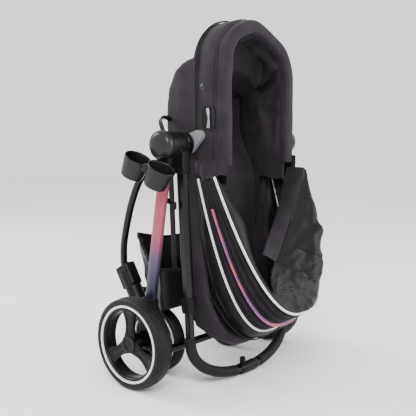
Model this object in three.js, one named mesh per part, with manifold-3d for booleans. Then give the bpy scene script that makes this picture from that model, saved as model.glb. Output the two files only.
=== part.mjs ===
// A pet stroller, folded and standing up on its four wheels and its handle.
// Millimetres, +Z up. X runs along the wheel axles and the left side is at -X.
// The carrier opens towards -Y, where the handle lies, and the basket and front frame are on the +Y side.
// Places are measured from the rear wheels' axis, and the whole stroller is centred on Y at the end.
import * as THREE from 'three';
import { mergeVertices } from 'three/addons/utils/BufferGeometryUtils.js';
import Module from 'manifold-3d';

const wasm = await Module();
wasm.setup();

// ---------- Driving dimensions ----------
const GAP = 0.4; // clearance left between pieces that touch
const CENTRE_Y = 57; // moves the stroller so that its box is centred on Y

const REAR_RADIUS = 102;
const REAR_WIDTH = 44;
const REAR_FACE = 266; // outer face of the rear wheels, from the middle
const FRONT_RADIUS = 78;
const FRONT_WIDTH = 32;
const FRONT_WHEEL = { x: 129, y: 40, z: FRONT_RADIUS };

const HINGE = { y: -70, z: 537 }; // the axis that the whole fold turns about
const PIN_RADIUS = 6;
const LEG_X = 205;
const LEG_WIDE = 27;
const LEG_THICK = 16;
const CROSSBAR = { y: -52, z: 84, radius: 9 };

const ARM_X = 175;
const ARM_WIDE = 27;
const ARM_THICK = 18;
const ARM_WALL = 2;
const ARM_OFFSET = -11; // the arms run beside the hinge axis, not through it
const ARM_TILT = -3.4; // degrees from upright
const ARM_END = -345;
const SLIDER_WIDE = ARM_WIDE - 2 * ARM_WALL - 1;
const SLIDER_THICK = ARM_THICK - 2 * ARM_WALL - 1;
const SLIDER_TOP = -150;
// The handle's cross bar: its lowest point down the arms, and how far it bends up and out.
const BAR = { depth: -526.3, rise: 94, power: 2.25, bow: 15 };
const GRIP_RADIUS = 12.5;
const GRIP_START = -420;
const BUTTON_X = -16;

const FRONT_TUBE = 8.5;
const CASTER_TILT = 32; // degrees of the swivel axis from upright
const CASTER_TRAIL = 12;
const CASTER_DROP = 150; // from the housing's middle to the wheel's axle, along the swivel axis

const TUB_HALF = 128;
const TUB_WALL = 11;
// Where the carrier's sides turn in, how far its top is above that, and how square the turn is.
const ARCH = { z: 682, rise: 118, power: 2.4 };
const RIM_BACK = -82;
const RIM_FRONT = -141;
const RIM_BOTTOM = 490;
const LIP_Y = -156;

const CANOPY_PIVOT = { y: -116, z: 474 };
const BOW_HALF = 134;
const BOW_RADIUS = 2.6;
const BOW_REAR = { start: [-94, 462], tip: [-196, 118] }; // [y, z] beside the pivot and at the lowest point
const BOW_FRONT = { start: [-140, 468], tip: [-284, 172] };
const HEM = { half: 110, start: [-158, 484], tip: [-162, 212] };
const CLOTH = 6; // thickness of the collapsed cloth

// ---------- Finishes: colour, roughness, metalness ----------
const FINISH = {
  blackFrame: [0x1d1d21, 0.38, 0.5],
  hingePlastic: [0x3c3b40, 0.42, 0.1],
  darkPlastic: [0x1b1b1e, 0.5, 0],
  cupPlastic: [0x3e3d41, 0.45, 0.05],
  legPink: [0xc4667a, 0.35, 0.3],
  tyre: [0x232326, 0.8, 0],
  trimWhite: [0xe6e6e6, 0.4, 0],
  rimBlack: [0x18181a, 0.45, 0],
  steel: [0x8f9195, 0.3, 1],
  grip: [0x232225, 0.7, 0],
  adapterGrey: [0x98979b, 0.5, 0.1],
  greyFabric: [0x3a373b, 0.9, 0],
  blackFabric: [0x17171a, 0.92, 0],
  mesh: [0x1c1f1f, 0.9, 0],
  pleats: [0x3a3038, 0.9, 0],
};

const stroller = new THREE.Group();
stroller.name = 'pet_stroller';
stroller.position.y = CENTRE_Y;

// ---------- Solids ----------
function solidOf(geometry) {
  const bare = geometry.clone();
  bare.deleteAttribute('normal');
  bare.deleteAttribute('uv');
  const merged = mergeVertices(bare, 1e-3);
  const mesh = new wasm.Mesh({
    numProp: 3,
    vertProperties: new Float32Array(merged.attributes.position.array),
    triVerts: new Uint32Array(merged.index.array),
  });
  return new wasm.Manifold(mesh);
}

function geometryOf(solid) {
  const mesh = solid.getMesh();
  const geometry = new THREE.BufferGeometry();
  geometry.setAttribute('position', new THREE.BufferAttribute(mesh.vertProperties, 3));
  geometry.setIndex(new THREE.BufferAttribute(mesh.triVerts, 1));
  geometry.computeVertexNormals();
  return geometry;
}

function mirrored(geometry) {
  const copy = geometry.clone();
  copy.scale(-1, 1, 1);
  const index = copy.index.array;
  for (let i = 0; i < index.length; i += 3) {
    [index[i], index[i + 1]] = [index[i + 1], index[i]];
  }
  copy.computeVertexNormals();
  return copy;
}

// A left piece joined with its mirror image, as one solid where they meet others.
function bothSides(solid) {
  return solid.add(solidOf(mirrored(geometryOf(solid))));
}

function joined(...solids) {
  return solids.reduce((whole, next) => whole.add(next));
}

function box(x, y, z) {
  const geometry = new THREE.BoxGeometry(x[1] - x[0], y[1] - y[0], z[1] - z[0]);
  geometry.translate((x[0] + x[1]) / 2, (y[0] + y[1]) / 2, (z[0] + z[1]) / 2);
  return geometry;
}

// A round bar along X.
function rod(radius, x, y, z, sides = 20) {
  const geometry = new THREE.CylinderGeometry(radius, radius, x[1] - x[0], sides);
  geometry.rotateZ(Math.PI / 2);
  geometry.translate((x[0] + x[1]) / 2, y, z);
  return geometry;
}

// A turned piece about X: the profile lists [radius, x] clockwise and closes on itself.
function ring(profile, x, y, z, segments = 30) {
  const points = [...profile, profile[0]].reverse().map(([r, along]) => new THREE.Vector2(r, along));
  const geometry = new THREE.LatheGeometry(points, segments);
  geometry.rotateZ(-Math.PI / 2);
  geometry.translate(x, y, z);
  return geometry;
}

// An outline in Y and Z, made as thick along X as its two ends say.
function plate(shape, x) {
  const geometry = new THREE.ExtrudeGeometry(shape, { depth: x[1] - x[0], bevelEnabled: false, curveSegments: 10 });
  geometry.applyMatrix4(
    new THREE.Matrix4().makeBasis(
      new THREE.Vector3(0, 1, 0),
      new THREE.Vector3(0, 0, 1),
      new THREE.Vector3(1, 0, 0),
    ),
  );
  geometry.translate(x[0], 0, 0);
  return geometry;
}

// The tight outline around circles given as [y, z, radius].
function aroundCircles(circles, sides = 20) {
  const points = circles.flatMap(([y, z, radius]) =>
    Array.from({ length: sides }, (_, i) => {
      const angle = (2 * Math.PI * i) / sides;
      return new THREE.Vector2(y + radius * Math.cos(angle), z + radius * Math.sin(angle));
    }),
  );
  points.sort((a, b) => a.x - b.x || a.y - b.y);
  const turn = (a, b, c) => (b.x - a.x) * (c.y - a.y) - (b.y - a.y) * (c.x - a.x);
  const half = (list) => {
    const chain = [];
    for (const point of list) {
      while (chain.length > 1 && turn(chain[chain.length - 2], chain[chain.length - 1], point) <= 1e-6) chain.pop();
      chain.push(point);
    }
    return chain.slice(0, -1);
  };
  return new THREE.Shape([...half(points), ...half(points.reverse())]);
}

function outline(points) {
  return new THREE.Shape(points.map(([a, b]) => new THREE.Vector2(a, b)));
}

// A flattened tube's section: wide across, with round ends and corners.
function ovalSection(thick, wide, corner = thick / 2 - 0.5) {
  const shape = new THREE.Shape();
  const [a, b] = [thick / 2, wide / 2];
  shape.moveTo(-a + corner, -b);
  shape.absarc(a - corner, -b + corner, corner, -Math.PI / 2, 0);
  shape.absarc(a - corner, b - corner, corner, 0, Math.PI / 2);
  shape.absarc(-a + corner, b - corner, corner, Math.PI / 2, Math.PI);
  shape.absarc(-a + corner, -b + corner, corner, Math.PI, 1.5 * Math.PI);
  return shape;
}

// A straight bar of any section, along Z between two heights.
function bar(section, z, curveSegments = 3) {
  const geometry = new THREE.ExtrudeGeometry(section, { depth: z[1] - z[0], bevelEnabled: false, curveSegments });
  geometry.translate(0, 0, z[0]);
  return geometry;
}

function sweep(curve, section, steps, curveSegments = 3) {
  return new THREE.ExtrudeGeometry(section, { extrudePath: curve, steps, bevelEnabled: false, curveSegments });
}

function roundSection(radius, sides = 12) {
  const points = Array.from({ length: sides }, (_, i) => {
    const angle = (2 * Math.PI * i) / sides;
    return [radius * Math.cos(angle), radius * Math.sin(angle)];
  });
  return outline(points);
}

// Cloth between two rows of points, made as thick as CLOTH towards the point inside.
function cloth(rowA, rowB, inside, thickness = CLOTH) {
  const last = rowA.length - 1;
  const corners = rowA.map((a, i) => {
    const b = rowB[i];
    const along = rowA[Math.min(i + 1, last)].clone().sub(rowA[Math.max(i - 1, 0)]);
    const normal = along.cross(b.clone().sub(a)).normalize();
    const middle = a.clone().add(b).multiplyScalar(0.5);
    if (normal.dot(inside.clone().sub(middle)) < 0) normal.negate();
    normal.multiplyScalar(thickness);
    return [a, b, b.clone().add(normal), a.clone().add(normal)];
  });
  const positions = corners.flat().flatMap((p) => [p.x, p.y, p.z]);
  const faces = [];
  for (let i = 0; i < last; i += 1) {
    for (let k = 0; k < 4; k += 1) {
      const [p, q] = [4 * i + k, 4 * i + ((k + 1) % 4)];
      faces.push(p, q, q + 4, p, q + 4, p + 4);
    }
  }
  const end = 4 * last;
  faces.push(0, 2, 1, 0, 3, 2, end, end + 1, end + 2, end, end + 2, end + 3);
  const geometry = new THREE.BufferGeometry();
  geometry.setAttribute('position', new THREE.Float32BufferAttribute(positions, 3));
  geometry.setIndex(faces);
  if (volumeOf(geometry) > 0) return geometry;
  geometry.setIndex(faces.map((_, i) => faces[i - (i % 3) + ((3 - (i % 3)) % 3)]));
  return geometry;
}

function volumeOf(geometry) {
  const position = geometry.attributes.position;
  const corner = (i) => new THREE.Vector3().fromBufferAttribute(position, geometry.index.getX(i));
  let volume = 0;
  for (let i = 0; i < geometry.index.count; i += 3) {
    volume += corner(i).dot(corner(i + 1).cross(corner(i + 2)));
  }
  return volume;
}

// A solid with four corners below and four above, each [x, y, z], in the same turning order.
function fourSided(below, above) {
  const faces = [0, 2, 1, 0, 3, 2, 4, 5, 6, 4, 6, 7];
  for (let k = 0; k < 4; k += 1) {
    const next = (k + 1) % 4;
    faces.push(k, next, next + 4, k, next + 4, k + 4);
  }
  const geometry = new THREE.BufferGeometry();
  geometry.setAttribute('position', new THREE.Float32BufferAttribute([...below, ...above].flat(), 3));
  geometry.setIndex(faces);
  return geometry;
}

function finished(geometry, name, [color, roughness, metalness]) {
  const mesh = new THREE.Mesh(geometry, new THREE.MeshStandardMaterial({ color, roughness, metalness }));
  mesh.name = name;
  return mesh;
}

function add(name, solid, finish, group = stroller) {
  group.add(finished(geometryOf(solid), name, finish));
}

// A left piece and its mirror image on the right.
function addPair(name, solid, finish, group = stroller) {
  const left = geometryOf(solid);
  group.add(finished(left, `${name}_left`, finish));
  group.add(finished(mirrored(left), `${name}_right`, finish));
}

const radians = THREE.MathUtils.degToRad;

// ---------- Wheels ----------
// A tyre, a white trim ring let into its outer side, and a three-spoke rim.
function addWheel(prefix, radius, width, centre, trim, boreRadius, blind) {
  const half = width / 2;
  const tread = radius - trim.outer;
  const tyre = [
    [trim.inner, half - 4],
    [trim.outer + 0.5 * tread, half],
    [radius, half - 10],
    [radius, 10 - half],
    [trim.outer + 0.5 * tread, -half],
    [trim.outer + GAP, 1 - half],
    [trim.outer + GAP, 9 - half],
    [trim.inner, 9 - half],
  ];
  const { x, y, z } = centre;
  addPair(`${prefix}_tyre`, solidOf(ring(tyre, x, y, z)), FINISH.tyre);

  const trimProfile = [
    [trim.inner + GAP, 8.5 - half],
    [trim.outer, 8.5 - half],
    [trim.outer, 1 - half],
    [trim.inner + GAP, 1 - half],
  ];
  addPair(`${prefix}_trim_ring`, solidOf(ring(trimProfile, x, y, z)), FINISH.trimWhite);

  const rimOuter = trim.inner - GAP;
  const barrel = [
    [rimOuter - 4, half - 5],
    [rimOuter, half - 5],
    [rimOuter, 3 - half],
    [rimOuter - 6, 6 - half],
  ];
  const hubRadius = 0.2 * rimOuter;
  const spoke = outline([
    [-0.13 * rimOuter, 0],
    [-0.16 * rimOuter, rimOuter - 2],
    [0.16 * rimOuter, rimOuter - 2],
    [0.13 * rimOuter, 0],
  ]);
  const spokes = [0, 1, 2].map((k) => {
    const arm = plate(spoke, [5 - half, 14 - half]);
    arm.rotateX((2 * Math.PI * k) / 3);
    arm.translate(x, y, z);
    return solidOf(arm);
  });
  const hub = solidOf(rod(hubRadius, [x + 3 - half, x + half - 2], y, z));
  const bore = solidOf(rod(boreRadius, [x + (blind ? 10 - half : -half), x + half], y, z));
  const rim = joined(solidOf(ring(barrel, x, y, z)), hub, ...spokes).subtract(bore);
  addPair(`${prefix}_rim`, rim, FINISH.rimBlack);
}

addWheel(
  'rear',
  REAR_RADIUS,
  REAR_WIDTH,
  { x: -REAR_FACE + REAR_WIDTH / 2, y: 0, z: REAR_RADIUS },
  { inner: 81, outer: 86.5 },
  PIN_RADIUS + 0.4,
  true,
);
addWheel(
  'front',
  FRONT_RADIUS,
  FRONT_WIDTH,
  { x: -FRONT_WHEEL.x, y: FRONT_WHEEL.y, z: FRONT_WHEEL.z },
  { inner: 61, outer: 66 },
  4.4,
  false,
);

// ---------- Rear legs and what joins them ----------
// The leg's own frame starts at the rear axle and runs up the leg to the hinge.
const LEG_LENGTH = Math.hypot(HINGE.y, HINGE.z - REAR_RADIUS);
const LEG_TILT = Math.atan2(-HINGE.y, HINGE.z - REAR_RADIUS);
const LEG_FROM = 70;
const LEG_TO = LEG_LENGTH - 40;

function alongLeg(geometry) {
  geometry.rotateX(LEG_TILT);
  geometry.translate(-LEG_X, 0, REAR_RADIUS);
  return solidOf(geometry);
}

const leg = (spare, from, to) => bar(ovalSection(LEG_THICK + spare, LEG_WIDE + spare, 5), [from, to]);
addPair('rear_leg', alongLeg(leg(0, LEG_FROM, LEG_TO)), FINISH.legPink);

const stub = solidOf(rod(PIN_RADIUS, [-REAR_FACE + 13, -207 - GAP], 0, REAR_RADIUS));
addPair('rear_axle', stub, FINISH.steel);

const footPlate = aroundCircles([
  [0, REAR_RADIUS, 12],
  [CROSSBAR.y, CROSSBAR.z, 13],
  [-9, 158, 15],
]);
const foot = joined(
  solidOf(plate(footPlate, [-219, -207])),
  alongLeg(bar(ovalSection(21, 34, 5), [52, 97])),
)
  .subtract(alongLeg(leg(2 * GAP, LEG_FROM - GAP, LEG_TO)))
  .subtract(solidOf(rod(PIN_RADIUS + GAP, [-222, -207 - GAP / 2], 0, REAR_RADIUS)));
addPair('rear_foot', foot, FINISH.darkPlastic);

const crossbarEnd = 207 - GAP;
const crossbar = solidOf(rod(CROSSBAR.radius, [-crossbarEnd, crossbarEnd], CROSSBAR.y, CROSSBAR.z));
add('rear_crossbar', crossbar, FINISH.blackFrame);

const pedal = joined(
  solidOf(rod(14, [-24, 24], CROSSBAR.y, CROSSBAR.z)),
  solidOf(box([-32, 32], [-101, CROSSBAR.y - 5], [CROSSBAR.z - 8, CROSSBAR.z])),
).subtract(solidOf(rod(CROSSBAR.radius + GAP, [-35, 35], CROSSBAR.y, CROSSBAR.z)));
add('brake_pedal', pedal, FINISH.darkPlastic);

// ---------- Side hinges ----------
// From the outside in, along one pin: cap, leg housing, handle knuckle, front frame eye, carrier adapter.
const HOUSING_X = [-215, -194.5];
const KNUCKLE_X = [-192.5, -167];
const EYE_X = [-165.5, -149];
const ADAPTER_X = [-146, -130.5];
const pinHole = (x) => solidOf(rod(PIN_RADIUS + GAP, x, HINGE.y, HINGE.z));

const housing = joined(
  solidOf(rod(29, HOUSING_X, HINGE.y, HINGE.z, 36)),
  alongLeg(bar(ovalSection(20.5, 33, 5), [LEG_LENGTH - 68, LEG_LENGTH - 15])),
)
  .subtract(alongLeg(leg(2 * GAP, LEG_FROM, LEG_TO + GAP)))
  .subtract(pinHole([-213, -190]));
addPair('hinge_housing', housing, FINISH.darkPlastic);

const capProfile = [
  [0, -216],
  [29.5, -216],
  [31, -221],
  [30, -229],
  [25, -233.5],
  [0, -235],
];
addPair('hinge_cap', solidOf(ring(capProfile, 0, HINGE.y, HINGE.z, 36)), FINISH.hingePlastic);

addPair('hinge_pin', solidOf(rod(PIN_RADIUS, [-212.5, -132.5], HINGE.y, HINGE.z)), FINISH.steel);

// ---------- Double cup holder, on the left hinge housing ----------
const CUP = { x: -243.5, radius: 31, base: 24, deep: 46, wall: 3, tilt: 30 };
const cupPlaces = [
  [-92, 492],
  [-22, 510],
];
const cup = (top, bottom, from) => {
  const geometry = new THREE.CylinderGeometry(top, bottom, CUP.deep - from, 32);
  geometry.rotateX(Math.PI / 2);
  geometry.translate(0, 0, from / 2 - CUP.deep / 2 + (from ? 3 : 0));
  geometry.rotateX(radians(CUP.tilt));
  return geometry;
};
const cupAt = (geometry, [y, z]) => solidOf(geometry.translate(CUP.x, y, z));
const cupBridge = aroundCircles([
  [-66, 480, 9],
  [-46, 490, 9],
]);
const cups = joined(
  ...cupPlaces.map((place) => cupAt(cup(CUP.radius, CUP.base, 0), place)),
  solidOf(plate(cupBridge, [-252, -215.7])),
);
const cupHolder = cupPlaces.reduce(
  (whole, place) => whole.subtract(cupAt(cup(CUP.radius - CUP.wall, CUP.base - CUP.wall, CUP.wall), place)),
  cups,
);
add('cup_holder', cupHolder, FINISH.cupPlastic);

// ---------- Fold lock on the left leg ----------
const HOOK_PIVOT = [-50, 418];
const hookX = [-195.5, -191.5];
const lever = aroundCircles([
  [...HOOK_PIVOT, 7],
  [-80, 412, 4],
]);
const leverTip = aroundCircles([
  [-80, 412, 4],
  [-81, 402, 3],
]);
const hook = joined(solidOf(plate(lever, hookX)), solidOf(plate(leverTip, hookX)));
add('fold_lock_hook', hook, FINISH.darkPlastic);

// ---------- Handle ----------
// The handle's own frame starts at the hinge and hangs down the arms.
const handle = new THREE.Group();
handle.position.set(0, HINGE.y, HINGE.z);
handle.rotation.x = radians(ARM_TILT);
stroller.add(handle);

const armBar = (thick, wide, z) => {
  const geometry = bar(ovalSection(thick, wide), z);
  geometry.translate(-ARM_X, ARM_OFFSET, 0);
  return solidOf(geometry);
};
const armTop = -24;
const arm = armBar(ARM_THICK, ARM_WIDE, [ARM_END, armTop]).subtract(
  armBar(ARM_THICK - 2 * ARM_WALL, ARM_WIDE - 2 * ARM_WALL, [ARM_END - 5, armTop - 6]),
);
addPair('handle_arm', arm, FINISH.blackFrame, handle);

const knuckle = joined(
  solidOf(rod(27, KNUCKLE_X, 0, 0, 36)),
  solidOf(box([-190, KNUCKLE_X[1]], [ARM_OFFSET - 17, ARM_OFFSET + 17], [-62, -15])),
)
  .subtract(armBar(ARM_THICK + 2 * GAP, ARM_WIDE + 2 * GAP, [-70, armTop + GAP]))
  .subtract(solidOf(box([-176, -160], [ARM_OFFSET - 14, ARM_OFFSET + 14], [-70, armTop + GAP])))
  .subtract(solidOf(rod(PIN_RADIUS + GAP, [-200, -160], 0, 0)));
addPair('handle_knuckle', knuckle, FINISH.darkPlastic, handle);

const collar = armBar(ARM_THICK + 6, ARM_WIDE + 6, [ARM_END - 20, ARM_END + 14])
  .subtract(armBar(ARM_THICK + 2 * GAP, ARM_WIDE + 2 * GAP, [ARM_END - GAP, ARM_END + 20]))
  .subtract(armBar(SLIDER_THICK + 4 * GAP, SLIDER_WIDE + 4 * GAP, [ARM_END - 30, ARM_END]));
addPair('handle_collar', collar, FINISH.darkPlastic, handle);

// The bar that slides in the arms: down one side, round its bow and up the other side.
function handlePath(top, left, right) {
  const turnZ = BAR.depth + BAR.rise;
  const straight = (side) =>
    [0, 0.5, 0.9].map((part) => new THREE.Vector3(side * ARM_X, ARM_OFFSET, top + part * (turnZ - top)));
  const bow = Array.from({ length: 25 }, (_, i) => {
    const angle = Math.PI * (i / 24);
    const across = Math.sign(Math.cos(angle)) * Math.abs(Math.cos(angle)) ** (2 / BAR.power);
    const down = Math.max(Math.sin(angle), 0) ** (2 / BAR.power);
    return new THREE.Vector3(-ARM_X * across, ARM_OFFSET - BAR.bow * down ** 2, turnZ - BAR.rise * down);
  });
  const points = [
    ...(left ? straight(-1) : []),
    ...bow.filter(({ x }) => (left && x < -30) || (right && x > 30) || (left && right)),
    ...(right ? straight(1).reverse() : []),
  ];
  return new THREE.CatmullRomCurve3(points, false, 'centripetal');
}
const sliderSweep = (spare) => {
  const section = ovalSection(SLIDER_WIDE + spare, SLIDER_THICK + spare, 5);
  return solidOf(sweep(handlePath(SLIDER_TOP, true, true), section, 44, 1));
};
add('handle_bar', sliderSweep(0), FINISH.blackFrame, handle);

const hollow = sliderSweep(4 * GAP);
const gripSection = roundSection(GRIP_RADIUS, 12);
const grip = solidOf(sweep(handlePath(GRIP_START, true, false), gripSection, 16)).subtract(hollow);
addPair('handle_grip', grip, FINISH.grip, handle);

const barMiddle = ARM_OFFSET - BAR.bow;
const releaseCase = solidOf(rod(GRIP_RADIUS + 0.5, [-36, 36], barMiddle, BAR.depth, 24))
  .subtract(hollow)
  .subtract(upright(7.4, BUTTON_X, barMiddle, [BAR.depth + 5, BAR.depth + 30]));
add('handle_release_case', releaseCase, FINISH.darkPlastic, handle);

function upright(radius, x, y, z) {
  const geometry = new THREE.CylinderGeometry(radius, radius, z[1] - z[0], 20);
  geometry.rotateX(Math.PI / 2);
  geometry.translate(x, y, (z[0] + z[1]) / 2);
  return solidOf(geometry);
}
const button = upright(6.9, BUTTON_X, barMiddle, [BAR.depth + 12.5, BAR.depth + 27]);
add('handle_button', button, FINISH.darkPlastic, handle);

// ---------- Front frame: one bent tube with an eye on each hinge pin ----------
const eyeMiddle = (EYE_X[0] + EYE_X[1]) / 2;
const frameHalf = [
  [eyeMiddle, HINGE.y + 14, HINGE.z - 4],
  [eyeMiddle, 0, 500],
  [-156, 60, 462],
  [-154, 96, 404],
  [-151, 122, 335],
  [-143, 141, 280],
  [-134, 146, 225],
  [-112, 142, 186],
  [-70, 136, 168],
];
const tubePoints = [...frameHalf, [0, 134, 164], ...frameHalf.map(([x, y, z]) => [-x, y, z]).reverse()];
const tubeCurve = new THREE.CatmullRomCurve3(
  tubePoints.map(([x, y, z]) => new THREE.Vector3(x, y, z)),
  false,
  'centripetal',
);
const frontTube = (spare) => solidOf(sweep(tubeCurve, roundSection(FRONT_TUBE + spare, 10), 46));
const eyes = bothSides(solidOf(rod(26, EYE_X, HINGE.y, HINGE.z, 36)));
const frontFrame = frontTube(0).add(eyes).subtract(bothSides(pinHole([-170, -145])));
add('front_frame', frontFrame, FINISH.blackFrame);

// ---------- Casters ----------
// The caster's own frame: origin in the housing, -Z down the swivel axis.
const casterTilt = radians(CASTER_TILT);
const casterDown = { y: -Math.sin(casterTilt), z: -Math.cos(casterTilt) };
const casterSide = { y: -Math.cos(casterTilt), z: Math.sin(casterTilt) };
const CASTER = {
  x: -FRONT_WHEEL.x,
  y: FRONT_WHEEL.y - CASTER_DROP * casterDown.y - CASTER_TRAIL * casterSide.y,
  z: FRONT_WHEEL.z - CASTER_DROP * casterDown.z - CASTER_TRAIL * casterSide.z,
};

function onCaster(geometry) {
  geometry.rotateX(-casterTilt);
  geometry.translate(CASTER.x, CASTER.y, CASTER.z);
  return solidOf(geometry);
}

const casterBlock = (radius, z, sides = 28) => {
  const geometry = new THREE.CylinderGeometry(radius, radius, z[1] - z[0], sides);
  geometry.rotateX(Math.PI / 2);
  geometry.translate(0, 0, (z[0] + z[1]) / 2);
  return geometry;
};
const casterHousing = joined(
  onCaster(casterBlock(20, [-45, 30])),
  onCaster(bar(ovalSection(36, 46, 10), [-8, 46])),
)
  .subtract(frontTube(GAP))
  .subtract(onCaster(casterBlock(8.4, [-60, -10.5])));
addPair('caster_housing', casterHousing, FINISH.darkPlastic);

const forkArm = (x) => {
  const shape = aroundCircles([
    [0, -58, 12],
    [-CASTER_TRAIL, -CASTER_DROP, 11],
  ]);
  return onCaster(plate(shape, x));
};
const fork = joined(
  onCaster(casterBlock(8, [-60, -12])),
  onCaster(box([-23, 23], [-13, 13], [-64, -52])),
  forkArm([-23, -18.5]),
  forkArm([18.5, 23]),
).subtract(solidOf(rod(4.4, [-160, -100], FRONT_WHEEL.y, FRONT_WHEEL.z)));
addPair('caster_fork', fork, FINISH.darkPlastic);

const boltEnd = FRONT_WHEEL.x - 24;
const frontBolt = solidOf(rod(4, [-FRONT_WHEEL.x - 24, -boltEnd], FRONT_WHEEL.y, FRONT_WHEEL.z));
addPair('front_axle', frontBolt, FINISH.steel);

// ---------- Shopping basket ----------
const basketBelow = (inset, z) => [
  [-186 + inset, -32 + inset, z],
  [186 - inset, -32 + inset, z],
  [118 - inset, 78 - inset, z],
  [-118 + inset, 78 - inset, z],
];
const basketAbove = (inset, z) => [
  [-190 + inset, -34 + inset, 262 + z],
  [190 - inset, -34 + inset, 262 + z],
  [128 - inset, 104 - inset, 322 + z],
  [-128 + inset, 104 - inset, 322 + z],
];
const basket = solidOf(fourSided(basketBelow(0, 168), basketAbove(0, 0))).subtract(
  solidOf(fourSided(basketBelow(4, 172), basketAbove(4, 1))),
);
add('basket', basket, FINISH.blackFabric);

// ---------- Carrier ----------
// The round top of the carrier as [x, z] from left to right, moved in from its outer face.
function arch(inset, count = 18) {
  return Array.from({ length: count + 1 }, (_, i) => {
    const angle = Math.PI * (1 - i / count);
    const across = Math.sign(Math.cos(angle)) * Math.abs(Math.cos(angle)) ** (2 / ARCH.power);
    const up = Math.max(Math.sin(angle), 0) ** (2 / ARCH.power);
    return [(TUB_HALF - inset) * across, ARCH.z + (ARCH.rise - inset) * up];
  });
}

// Seen from the front, the carrier is a tall outline with a round top and round lower corners.
function carrierFront(inset) {
  const half = TUB_HALF - inset;
  const low = 88 + inset;
  const shape = new THREE.Shape();
  shape.moveTo(half - 60, low);
  shape.lineTo(60 - half, low);
  shape.quadraticCurveTo(-half, low, -half, low + 110);
  for (const [x, z] of arch(inset)) shape.lineTo(x, z);
  shape.lineTo(half, low + 110);
  shape.quadraticCurveTo(half, low, half - 60, low);
  return shape;
}

// A line up one side of the carrier, over its round top and down the other side.
function overCarrier(inset, y, heights) {
  const half = TUB_HALF - inset;
  return new THREE.CatmullRomCurve3(
    [
      ...heights.map((z) => new THREE.Vector3(-half, y, z)),
      ...arch(inset, 14).map(([x, z]) => new THREE.Vector3(x, y, z)),
      ...[...heights].reverse().map((z) => new THREE.Vector3(half, y, z)),
    ],
    false,
    'centripetal',
  );
}

function alongY(shape, y) {
  const geometry = new THREE.ExtrudeGeometry(shape, { depth: y[1] - y[0], bevelEnabled: false, curveSegments: 12 });
  geometry.rotateX(Math.PI / 2);
  geometry.translate(0, y[1], 0);
  return solidOf(geometry);
}

// Seen from the side: a deep rim above, a bag behind it, and a slim lower half that the canopy closes.
const bagSide = [
  [RIM_BACK, 745],
  [-50, 738],
  [-18, 708],
  [4, 660],
  [8, 610],
  [8, 560],
  [-12, 515],
  [-42, 470],
  [-46, 300],
  [-50, 170],
  [-70, 124],
  [-112, 98],
  [-160, 88],
];
const lowerEdge = [
  [-172, 100],
  [-146, 136],
  [-112, 200],
  [-96, 300],
  [-88, 400],
  [-85, RIM_BOTTOM],
];
const sideOuter = outline([
  ...bagSide,
  ...lowerEdge,
  [RIM_FRONT, RIM_BOTTOM],
  [RIM_FRONT, 820],
  [RIM_BACK, 820],
]);
const sideInner = outline([
  [RIM_FRONT - 10, 820],
  [RIM_BACK - 6, 820],
  [RIM_BACK, 745 - TUB_WALL],
  [-54, 726],
  [-26, 700],
  [-7, 655],
  [-3, 610],
  [-3, 562],
  [-24, 512],
  [-54, 464],
  [-57, 300],
  [-61, 175],
  [-78, 136],
  [-116, 110],
  [-160, 100],
  [-200, 100],
  [-200, 480],
  [RIM_FRONT - 10, 480],
]);
const carrierShell = alongY(carrierFront(0), [-200, 20])
  .intersect(solidOf(plate(sideOuter, [-140, 140])))
  .subtract(
    alongY(carrierFront(TUB_WALL), [-220, 40]).intersect(solidOf(plate(sideInner, [-140, 140]))),
  );

// The steel hoop that holds the rim open runs in a channel, and a slot on each side shows it.
const HOOP = { y: -118, radius: 4, inset: TUB_WALL / 2 + 0.5 };
const hoopCurve = overCarrier(HOOP.inset, HOOP.y, [RIM_BOTTOM - 6, 530, 580, 630]);
const hoop = (spare) => solidOf(sweep(hoopCurve, roundSection(HOOP.radius + spare, 6), 36));
const slot = (x) => solidOf(box(x, [-138, -99], [568, 616]));
const tub = carrierShell
  .subtract(hoop(GAP))
  .subtract(slot([-140, -120]))
  .subtract(slot([120, 140]));
add('carrier_tub', tub, FINISH.greyFabric);
add('rim_hoop', hoop(0), FINISH.steel);

const lipCurve = overCarrier(18, LIP_Y, [RIM_BOTTOM + 6, 550, 610]);
const lip = sweep(lipCurve, ovalSection(28, 24, 11), 30, 2);
add('carrier_lip', solidOf(lip), FINISH.greyFabric);

const mat = outline([
  [-66, 190],
  [-80, 190],
  [-75, 300],
  [-75, 455],
  [-40, 520],
  [-22, 572],
  [-22, 650],
  [-10, 650],
  [-10, 568],
  [-32, 513],
  [-60, 462],
  [-62, 300],
]);
add('carrier_mat', solidOf(plate(mat, [-104, 104])), FINISH.blackFabric);

const adapterShape = aroundCircles([
  [HINGE.y, HINGE.z, 20],
  [-100, 556, 12],
]);
const adapter = solidOf(plate(adapterShape, ADAPTER_X)).subtract(pinHole([-150, -131.5]));
addPair('carrier_adapter', adapter, FINISH.adapterGrey);

// ---------- Canopy ----------
// A bow's line in evenly spaced points: straight arms that round off into its lowest point.
function bowLine(half, start, tip, steps = 30, squareness = 2.7) {
  const power = 2 / squareness;
  const shapeSteps = 60;
  const points = Array.from({ length: shapeSteps + 1 }, (_, i) => {
    const angle = (Math.PI / 2) * ((2 * i) / shapeSteps - 1);
    const across = Math.sign(Math.sin(angle)) * Math.abs(Math.sin(angle)) ** power;
    const down = Math.max(Math.cos(angle), 0) ** power;
    return new THREE.Vector3(
      half * across,
      start[0] + (tip[0] - start[0]) * down,
      start[1] + (tip[1] - start[1]) * down,
    );
  });
  return new THREE.CatmullRomCurve3(points, false, 'centripetal').getSpacedPoints(steps);
}

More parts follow.
